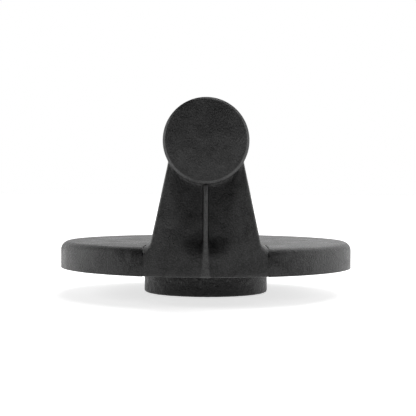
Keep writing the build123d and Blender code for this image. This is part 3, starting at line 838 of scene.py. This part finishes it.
def softened_copy(node, name, width):
    """A copy of a CAD node's mesh with its sharp edges rounded, as moulding leaves them."""
    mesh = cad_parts[node].data.copy()
    mesh.name = name
    shape = bmesh.new()
    shape.from_mesh(mesh)
    bmesh.ops.remove_doubles(shape, verts=shape.verts, dist=2e-6)
    bmesh.ops.dissolve_limit(
        shape, angle_limit=math.radians(0.6), verts=shape.verts, edges=shape.edges
    )
    sharp = [
        edge
        for edge in shape.edges
        if len(edge.link_faces) == 2 and edge.calc_face_angle(0.0) > math.radians(30)
    ]
    bmesh.ops.bevel(
        shape,
        geom=sharp,
        offset=width,
        segments=3,
        affect="EDGES",
        profile=0.5,
        clamp_overlap=True,
    )
    bmesh.ops.remove_doubles(shape, verts=shape.verts, dist=WELD)
    bmesh.ops.dissolve_degenerate(shape, edges=shape.edges, dist=WELD)
    bmesh.ops.triangulate(shape, faces=[face for face in shape.faces if len(face.verts) > 4])
    shape.to_mesh(mesh)
    shape.free()
    if "custom_normal" in mesh.attributes:
        mesh.attributes.remove(mesh.attributes["custom_normal"])
    smooth_by_angle(mesh, 32.0)
    return mesh


def roughen(mesh, depth, size, seed):
    """Sinks a closed mesh's points unevenly, by up to that depth."""
    shift = Vector((seed, 2.0 * seed, 3.0 * seed))
    normals = [vertex.normal.copy() for vertex in mesh.vertices]
    for vertex, normal in zip(mesh.vertices, normals):
        swell = noise.fractal(vertex.co / size + shift, 1.0, 2.0, 3)
        vertex.co -= normal * depth * (0.5 + 0.5 * max(-1.0, min(1.0, swell)))


def hexagon_bolt(name):
    """A hexagon bolt: washer face, chamfered head, and a shank with rolled thread."""
    low, high = BOLT_LOW_CORNER.z, BOLT_HIGH_CORNER.z
    flats = BOLT_HIGH_CORNER.y
    head_high = WASHER_LOW_CORNER.z
    hexagon_high = head_high - 0.31 * MM
    shank = BOLT_SHANK_RADIUS
    pitch = 1.0 * MM
    groove = 0.8 * MM
    plain = 0.8 * MM
    lead = 0.6 * MM
    around = 96
    shape = bmesh.new()
    # The head's lower face and chamfer, its flats, the washer face, then the shank.
    profile = [(0.0, low), (flats * 0.62, low), (flats * 0.86, low + 0.05 * MM)]
    profile += [(flats * 0.93, low + 0.2 * MM), (flats * 1.02, low + 0.5 * MM)]
    profile += [(flats * 1.16, low + 0.95 * MM), (flats * 1.16, head_high - 0.35 * MM)]
    profile += [(flats * 0.95, head_high - 0.3 * MM), (flats * 0.95, head_high), (shank, head_high)]
    turns = int((high - head_high - 2 * plain) / pitch)
    for turn in range(turns):
        base = head_high + plain + turn * pitch
        for share, depth in ((0.0, 0.0), (0.35, 0.45), (0.5, 0.5), (0.65, 0.45), (1.0, 0.0)):
            profile.append((shank - depth * groove, base + share * pitch * 0.98))
    profile += [(shank, high - lead), (shank - lead, high), (0.0, high)]
    rows = []
    for radius, height in profile:
        if radius < NEARLY_ZERO:
            rows.append([shape.verts.new((0, 0, height))])
            continue
        row = []
        for step in range(around):
            angle = 2 * math.pi * step / around
            side = (angle + math.pi / 6) % (math.pi / 3) - math.pi / 6
            reach = min(radius, flats / math.cos(side)) if height < hexagon_high else radius
            row.append(shape.verts.new((reach * math.sin(angle), reach * math.cos(angle), height)))
        rows.append(row)
    return skinned(shape, zip(rows, rows[1:]), around, name, 25.0)


def countersunk_screw(name):
    """A small countersunk screw with a cross recess, its head's face at z = 0, facing down."""
    head, shank = PLATE_SCREW_HEAD_RADIUS, PLATE_SCREW_SHANK_RADIUS
    head_high, tip = 1.7 * MM, 6.6 * MM
    rim = 0.15 * MM
    crest, root = shank - 0.02 * MM, shank - 0.35 * MM
    cross_reach, cross_half_width, cross_deep = 1.35, 0.3, 0.85 * MM
    profile = [
        (0.0, 0.0, 0.0),
        (head - rim, 0.0, 0.0),
        (head, 0.8 * rim, 0.0),
        (shank, head_high, 0.0),
    ]
    pitch = 0.7 * MM
    turns = int((tip - head_high - 0.8 * MM) / pitch)
    for turn in range(turns):
        base = head_high + 0.1 * MM + turn * pitch
        profile += [
            (crest, base + 0.1 * pitch, 0.0),
            (root, base + 0.5 * pitch, 0.0),
            (crest, base + 0.9 * pitch, 0.0),
        ]
    profile += [(shank - 0.5 * MM, tip - 0.3 * MM, 0.0), (0.0, tip, 0.0)]
    mesh = turned(name, profile, around=36)
    body = bpy.data.objects.new(name + "_body", mesh)
    cutter_shape = bmesh.new()
    for length, width in ((cross_reach, cross_half_width), (cross_half_width, cross_reach)):
        corners = bmesh.ops.create_cube(cutter_shape, size=2.0)["verts"]
        for corner in corners:
            taper = 1.0 if corner.co.z < 0 else 0.7
            corner.co.x *= length * taper * MM
            corner.co.y *= width * taper * MM
            corner.co.z = cross_deep if corner.co.z > 0 else -0.5 * MM
    cutter_mesh = bpy.data.meshes.new("cross")
    cutter_shape.to_mesh(cutter_mesh)
    cutter_shape.free()
    cutter = bpy.data.objects.new("cross", cutter_mesh)
    for item in (body, cutter):
        bpy.context.scene.collection.objects.link(item)
    cut = body.modifiers.new("cross", "BOOLEAN")
    cut.object = cutter
    cut.operation = "DIFFERENCE"
    cut.solver = "EXACT"
    cut.use_self = True
    evaluated = body.evaluated_get(bpy.context.evaluated_depsgraph_get())
    made = bpy.data.meshes.new_from_object(evaluated)
    for item in (body, cutter):
        bpy.data.objects.remove(item)
    made.name = name
    return made


def split_at_seam(mesh, name, side):
    """One half of a closed mesh, cut square at x = 0 and closed there.

    The tongue's sides are set straight, where they meet the cover."""
    side_band = 0.22 * MM
    edge_band = 0.4 * MM
    shape = bmesh.new()
    shape.from_mesh(mesh)
    bmesh.ops.bisect_plane(
        shape,
        geom=shape.verts[:] + shape.edges[:] + shape.faces[:],
        dist=WELD,
        plane_co=(0, 0, 0),
        plane_no=(-side, 0, 0),
        clear_outer=True,
    )
    for vertex in shape.verts:
        on_side = abs(vertex.co.x) > SOLE_HALF_WIDTH - side_band
        if on_side and vertex.co.z < COVER_HIGH - edge_band:
            vertex.co.x = math.copysign(SOLE_HALF_WIDTH + SOLE_OVERLAP, vertex.co.x)
    border = [edge for edge in shape.edges if edge.is_boundary]
    bmesh.ops.triangle_fill(shape, edges=border, normal=(-side, 0, 0), use_beauty=True)
    half = bpy.data.meshes.new(name)
    shape.to_mesh(half)
    shape.free()
    smooth_by_angle(half, 60.0)
    return half


def placed(mesh, matrix):
    """Moves a mesh's own points, so that its object can stay at the origin."""
    mesh.transform(matrix)
    if matrix.determinant() < 0:
        mesh.flip_normals()
    return mesh


# ---------------------------------------------------------------- operators


class PlungerOperator:
    """What every operator here shares."""

    bl_options = {"REGISTER", "UNDO"}

    @property
    def sizes(self):
        return bpy.context.scene.plunger_sizes

    @property
    def colours(self):
        return bpy.context.scene.plunger_colours


class PLUNGER_OT_grip_halves(PlungerOperator, bpy.types.Operator):
    """Moulds the left and the right half of the bridge handle"""

    bl_idname = "plunger.grip_halves"
    bl_label = "Handle halves"

    def execute(self, context):
        tree = handle_tree(self.sizes)
        plastic = grip_plastic("handle_plastic", tuple(self.colours.grip), self.sizes)
        whole = grown("whole_handle", tree, {"Material": plastic})
        if not whole.data.polygons:
            raise RuntimeError("the handle's tree made no faces")
        for name, node, side in (
            ("left_grip_shell", "left_grip_half", -1),
            ("right_grip_shell", "right_grip_half", 1),
        ):
            mesh = split_at_seam(whole.data, name, side)
            new_piece(name, mesh, plastic, (node,))
        bpy.data.objects.remove(whole)
        bpy.data.node_groups.remove(tree)
        return {"FINISHED"}


class PLUNGER_OT_end_caps(PlungerOperator, bpy.types.Operator):
    """Turns the two bevelled end caps of the bar, each with its hollow spigot"""

    bl_idname = "plunger.end_caps"
    bl_label = "End caps"

    def execute(self, context):
        plastic = cap_plastic("cap_plastic", tuple(self.colours.cap))
        bevel = self.sizes.cap_bevel
        spigot_inset, spigot_wall, lead = 1.6 * MM, 1.8 * MM, 0.6 * MM
        spigot = TUBE_RADIUS - spigot_inset
        bore = spigot - spigot_wall
        low = -12.0 * MM
        profile = (
            (0.0, CAP_HEAD, 0.0),
            (BAR_RADIUS - bevel, CAP_HEAD, 0.16 * MM),
            (BAR_RADIUS, CAP_HEAD - bevel, 0.22 * MM),
            (BAR_RADIUS, 0.0, 0.2 * MM),
            (spigot, 0.0, 0.0),
            (spigot, low + lead, 0.1 * MM),
            (spigot - lead, low, 0.1 * MM),
            (bore, low, 0.1 * MM),
            (bore, 0.0, 0.0),
            (0.0, 0.0, 0.0),
        )
        for name, node, end in (
            ("front_cap", "front_end_cap", -1),
            ("rear_cap", "rear_end_cap", 1),
        ):
            mesh = turned(name, profile, around=160, segments=4)
            stand = Matrix.Rotation(math.radians(-90 * end), 4, "X")
            lift = Matrix.Translation((0, end * (BAR_END - CAP_HEAD), BAR_Z))
            new_piece(name, placed(mesh, lift @ stand), plastic, (node,))
        return {"FINISHED"}


class PLUNGER_OT_cover(PlungerOperator, bpy.types.Operator):
    """Makes the round cover, its edges softened as moulding leaves them"""

    bl_idname = "plunger.cover"
    bl_label = "Cover"

    def execute(self, context):
        plastic = cover_plastic("cover_plastic", tuple(self.colours.cover))
        mesh = softened_copy("cover_disc", "cover_shell", 0.18 * MM)
        new_piece("cover_shell", mesh, plastic, ("cover_disc",))
        return {"FINISHED"}


class PLUNGER_OT_base_plate(PlungerOperator, bpy.types.Operator):
    """Makes the plate that closes the cover's underside"""

    bl_idname = "plunger.base_plate"
    bl_label = "Base plate"

    def execute(self, context):
        plastic = moulded_plastic(
            "plate_plastic", tuple(self.colours.plate), grain=0.6 * MM, mottle=1.3, rough=0.55
        )
        mesh = softened_copy("base_plate", "base_plate_shell", 0.2 * MM)
        new_piece("base_plate_shell", mesh, plastic, ("base_plate",))
        return {"FINISHED"}


class PLUNGER_OT_base_plate_screws(PlungerOperator, bpy.types.Operator):
    """Sets the countersunk screws round the base plate"""

    bl_idname = "plunger.base_plate_screws"
    bl_label = "Base plate screws"

    def execute(self, context):
        steel = turned_metal("screw_steel", tuple(self.colours.steel), 0.28)
        screw = bpy.data.objects.new("one_screw", countersunk_screw("one_screw"))
        context.scene.collection.objects.link(screw)
        circle = PLATE_SCREW_HIGH_CORNER.x - PLATE_SCREW_HEAD_RADIUS
        tree = dotted_tree("screw_circle", PLATE_SCREW_COUNT, circle)
        piece = grown("plate_screws", tree, {"Piece": screw, "Material": steel})
        bpy.data.objects.remove(screw)
        bpy.data.node_groups.remove(tree)
        placed(piece.data, Matrix.Translation((0, 0, PLATE_SCREW_LOW_CORNER.z)))
        smooth_by_angle(piece.data)
        finish_piece(piece, steel, ("base_plate_screws",))
        return {"FINISHED"}


class PLUNGER_OT_rim_seal(PlungerOperator, bpy.types.Operator):
    """Turns the rubber ring, with its two low lips"""

    bl_idname = "plunger.rim_seal"
    bl_label = "Rim seal"

    def execute(self, context):
        rubber = open_rubber("seal_rubber", tuple(self.colours.seal), 0.5 * MM, 0.03 * MM)
        inner, outer = SEAL_HIGH_CORNER.x - SEAL_WIDTH, SEAL_HIGH_CORNER.x
        low, high = SEAL_LOW_CORNER.z, SEAL_HIGH_CORNER.z
        middle = (inner + outer) / 2
        lip_high, lip_width, furrow_half_width = 0.45 * MM, 1.3 * MM, 0.9 * MM
        edge, fold = 0.5 * MM, 0.35 * MM
        profile = (
            (inner, high, 0.0),
            (inner, low, edge),
            (inner + lip_width, low, fold),
            (middle - furrow_half_width, low + lip_high, fold),
            (middle + furrow_half_width, low + lip_high, fold),
            (outer - lip_width, low, fold),
            (outer, low, edge),
            (outer, high, 0.0),
        )
        mesh = turned("seal_ring", profile, around=256, segments=5)
        new_piece("seal_ring", mesh, rubber, ("rim_seal",))
        return {"FINISHED"}


class PLUNGER_OT_plug(PlungerOperator, bpy.types.Operator):
    """Moulds the rubber plug, with its neck, its recess and its slightly uneven skin"""

    bl_idname = "plunger.plug"
    bl_label = "Plug"

    def execute(self, context):
        # The plug's rubber gets painted shade towards its lower edge, over its lowest 7 mm.
        rubber = open_rubber("plug_rubber", tuple(self.colours.plug), painted_shade_below=7 * MM)
        step_in, bore_gap = 2.5 * MM, 0.1 * MM
        neck = PLUG_RADIUS - step_in
        recess, deep = 13.0 * MM, 6.0 * MM
        bore = BUSH_HIGH_CORNER.x + bore_gap
        top = PLUG_HIGH_CORNER.z
        profile = (
            (bore, top, 0.0),
            (bore, deep, 0.1 * MM),
            (recess, deep, 0.4 * MM),
            (recess, 0.0, 0.5 * MM),
            (PLUG_RADIUS, 0.0, self.sizes.plug_edge_radius),
            (PLUG_RADIUS, COVER_LOW, 0.25 * MM),
            (neck, COVER_LOW, 0.2 * MM),
            (neck, top, 0.2 * MM),
        )
        mesh = turned("rubber_plug", profile, around=320, segments=5, longest=0.5 * MM)
        roughen(mesh, depth=0.09 * MM, size=2.4 * MM, seed=11)
        new_piece("rubber_plug", mesh, rubber, ("plug",))
        return {"FINISHED"}


class PLUNGER_OT_plug_fasteners(PlungerOperator, bpy.types.Operator):
    """Turns the plug's washer and makes its hexagon bolt"""

    bl_idname = "plunger.plug_fasteners"
    bl_label = "Plug fasteners"

    def execute(self, context):
        steel = turned_metal("bolt_steel", tuple(self.colours.steel), 0.24)
        outer = WASHER_HIGH_CORNER.x
        low, high = WASHER_LOW_CORNER.z, WASHER_HIGH_CORNER.z
        profile = (
            (WASHER_BORE_RADIUS, low, 0.15 * MM),
            (outer, low, 0.35 * MM),
            (outer, high, 0.15 * MM),
            (WASHER_BORE_RADIUS, high, 0.0),
        )
        washer = turned("bolt_washer", profile, around=160, segments=4)
        new_piece("bolt_washer", washer, steel, ("plug_washer",))
        new_piece("hexagon_bolt", hexagon_bolt("hexagon_bolt"), steel, ("plug_bolt",))
        return {"FINISHED"}


class PLUNGER_OT_inner_pieces(PlungerOperator, bpy.types.Operator):
    """Finishes the pieces inside: tube, bush, inserts, screws and washers"""

    bl_idname = "plunger.inner_pieces"
    bl_label = "Inner pieces"

    def execute(self, context):
        colours = self.colours
        steel = turned_metal("inner_steel", tuple(colours.steel), 0.3)
        brass = turned_metal("insert_brass", tuple(colours.brass), 0.34)
        drawn = turned_metal(
            "tube_aluminium", tuple(colours.aluminium), 0.36, (0.15 * MM, 12 * MM, 0.15 * MM)
        )
        for node, finish in (
            ("core_tube", drawn),
            ("plug_bush", steel),
            ("grip_screws", steel),
            ("grip_screw_washers", steel),
            ("grip_inserts", brass),
            ("hub_insert", brass),
        ):
            paint_node(node, finish)
        return {"FINISHED"}


class PLUNGER_OT_stage(PlungerOperator, bpy.types.Operator):
    """Sets the pale floor, the soft lights and the camera"""

    bl_idname = "plunger.stage"
    bl_label = "Stage"

    def execute(self, context):
        scene = context.scene
        lay_floor(pale_floor("floor_paint", tuple(self.colours.floor)))
        set_camera(scene)
        set_lights(scene)
        scene.view_settings.view_transform = "Standard"
        scene.view_settings.look = "None"
        return {"FINISHED"}


# ---------------------------------------------------------------- stage

FLOOR_HALF_WIDTH = 6.0
CAMERA_PLACE = (0.00076, -0.4205, 0.0410)
CAMERA_LENS = 90.9
CAMERA_SENSOR = 36.0
CAMERA_DOWN = math.radians(1.035)
CAMERA_ROLL = math.radians(0.26)
OVERHEAD_FROM = (0.25, 0.55, 0.8)
OVERHEAD_STRENGTH = 1.7
OVERHEAD_SPREAD = math.radians(50)
SOFTBOX_SIZE = (0.35, 0.6)
SOFTBOX_POWER = 2.0


def lay_floor(paint):
    """A wide, flat, pale floor."""
    shape = bmesh.new()
    bmesh.ops.create_grid(shape, x_segments=8, y_segments=8, size=FLOOR_HALF_WIDTH)
    mesh = bpy.data.meshes.new("floor")
    shape.to_mesh(mesh)
    shape.free()
    mesh.materials.append(paint)
    floor = bpy.data.objects.new("floor", mesh)
    bpy.context.scene.collection.objects.link(floor)


def set_camera(scene):
    """The camera: in front, level with the handle, looking along +Y and slightly down."""
    data = bpy.data.cameras.new("camera")
    data.sensor_width = CAMERA_SENSOR
    data.lens = CAMERA_LENS
    data.clip_start = 0.01
    camera = bpy.data.objects.new("camera", data)
    camera.location = CAMERA_PLACE
    level = math.radians(90)
    aim = Matrix.Rotation(level - CAMERA_DOWN, 4, "X") @ Matrix.Rotation(CAMERA_ROLL, 4, "Z")
    camera.rotation_euler = aim.to_euler()
    scene.collection.objects.link(camera)
    scene.camera = camera


def add_area(name, place, aim, size, power):
    """A soft rectangular light that faces a point."""
    data = bpy.data.lights.new(name, "AREA")
    data.shape = "RECTANGLE"
    data.size, data.size_y = size
    data.energy = power
    light = bpy.data.objects.new(name, data)
    light.location = place
    light.rotation_euler = (Vector(aim) - Vector(place)).to_track_quat("-Z", "Y").to_euler()
    bpy.context.scene.collection.objects.link(light)


# Broad glows of the surroundings: direction, half angle of the core and of the edge, strength.
GLOWS = (
    ((-0.38, -1.0, -0.12), 10.0, 27.0, 0.66),
    ((0.9, -0.6, -0.05), 8.0, 30.0, 0.36),
    ((0.0, 1.0, 0.2), 30.0, 62.0, 0.85),
    ((-0.9, 0.5, 0.12), 12.0, 40.0, 0.66),
    ((0.9, 0.45, 0.12), 12.0, 40.0, 0.9),
)


DIM_GLOW = 0.02


def surround(name):
    """Soft studio surroundings: bright behind, softer at the sides and in front."""
    world = bpy.data.worlds.new(name)
    world.use_nodes = True
    nodes, links = world.node_tree.nodes, world.node_tree.links
    nodes.clear()

    def step(value, low, high, new_low, new_high):
        node = nodes.new("ShaderNodeMapRange")
        node.interpolation_type = "SMOOTHSTEP"
        for label, number in (
            ("From Min", low),
            ("From Max", high),
            ("To Min", new_low),
            ("To Max", new_high),
        ):
            node.inputs[label].default_value = number
        links.new(value, node.inputs["Value"])
        return node.outputs["Result"]

    def maths(operation, first, second):
        node = nodes.new("ShaderNodeMath")
        node.operation = operation
        for value, socket in ((first, node.inputs[0]), (second, node.inputs[1])):
            if isinstance(value, float):
                socket.default_value = value
            else:
                links.new(value, socket)
        return node.outputs[0]

    way = nodes.new("ShaderNodeTexCoord").outputs["Generated"]
    glow = DIM_GLOW
    for aim, core, edge, strength in GLOWS:
        towards = nodes.new("ShaderNodeVectorMath")
        towards.operation = "DOT_PRODUCT"
        links.new(way, towards.inputs[0])
        towards.inputs[1].default_value = Vector(aim).normalized()
        cosines = (math.cos(math.radians(edge)), math.cos(math.radians(core)))
        glow = maths("ADD", glow, step(towards.outputs["Value"], *cosines, 0.0, strength))
    lit = nodes.new("ShaderNodeBackground")
    links.new(glow, lit.inputs["Strength"])
    seen = nodes.new("ShaderNodeBackground")
    seen.inputs["Strength"].default_value = 1.0
    for background in (lit, seen):
        background.inputs["Color"].default_value = (1.0, 1.0, 1.0, 1.0)
    path = nodes.new("ShaderNodeLightPath")
    mix = nodes.new("ShaderNodeMixShader")
    links.new(path.outputs["Is Camera Ray"], mix.inputs[0])
    links.new(lit.outputs[0], mix.inputs[1])
    links.new(seen.outputs[0], mix.inputs[2])
    output = nodes.new("ShaderNodeOutputWorld")
    links.new(mix.outputs[0], output.inputs["Surface"])
    return world


def set_lights(scene):
    """A wide soft light from above and behind, two side softboxes and the surroundings."""
    middle = (0.0, 0.0, 0.03)
    overhead = bpy.data.lights.new("overhead", "SUN")
    overhead.energy = OVERHEAD_STRENGTH
    overhead.angle = OVERHEAD_SPREAD
    light = bpy.data.objects.new("overhead", overhead)
    light.rotation_euler = Vector(OVERHEAD_FROM).to_track_quat("Z", "Y").to_euler()
    scene.collection.objects.link(light)
    add_area("left_softbox", (-0.8, 0.1, 0.3), middle, SOFTBOX_SIZE, SOFTBOX_POWER)
    add_area("right_softbox", (0.8, 0.1, 0.3), middle, SOFTBOX_SIZE, SOFTBOX_POWER)
    scene.world = surround("surround")


# ---------------------------------------------------------------- add-on


OPERATORS = (
    PLUNGER_OT_grip_halves,
    PLUNGER_OT_end_caps,
    PLUNGER_OT_cover,
    PLUNGER_OT_base_plate,
    PLUNGER_OT_base_plate_screws,
    PLUNGER_OT_rim_seal,
    PLUNGER_OT_plug,
    PLUNGER_OT_plug_fasteners,
    PLUNGER_OT_inner_pieces,
    PLUNGER_OT_stage,
)


class PLUNGER_PT_builder(bpy.types.Panel):
    """Lists the plunger's operators, sizes and colours"""

    bl_idname = "PLUNGER_PT_builder"
    bl_label = "Sink Plunger"
    bl_space_type = "VIEW_3D"
    bl_region_type = "UI"
    bl_category = "Plunger"

    def draw(self, context):
        column = self.layout.column(align=True)
        for operator in OPERATORS:
            column.operator(operator.bl_idname)
        for values in (context.scene.plunger_sizes, context.scene.plunger_colours):
            column = self.layout.column(align=True)
            for name in values.bl_rna.properties.keys():
                if name not in ("rna_type", "name"):
                    column.prop(values, name)


CLASSES = (PlungerSizes, PlungerColours, *OPERATORS, PLUNGER_PT_builder)


def register():
    for each in CLASSES:
        bpy.utils.register_class(each)
    bpy.types.Scene.plunger_sizes = bpy.props.PointerProperty(type=PlungerSizes)
    bpy.types.Scene.plunger_colours = bpy.props.PointerProperty(type=PlungerColours)


def unregister():
    del bpy.types.Scene.plunger_colours
    del bpy.types.Scene.plunger_sizes
    for each in reversed(CLASSES):
        bpy.utils.unregister_class(each)


def main():
    register()
    for operator in OPERATORS:
        group, name = operator.bl_idname.split(".")
        getattr(getattr(bpy.ops, group), name)()


if __name__ == "__main__":
    main()
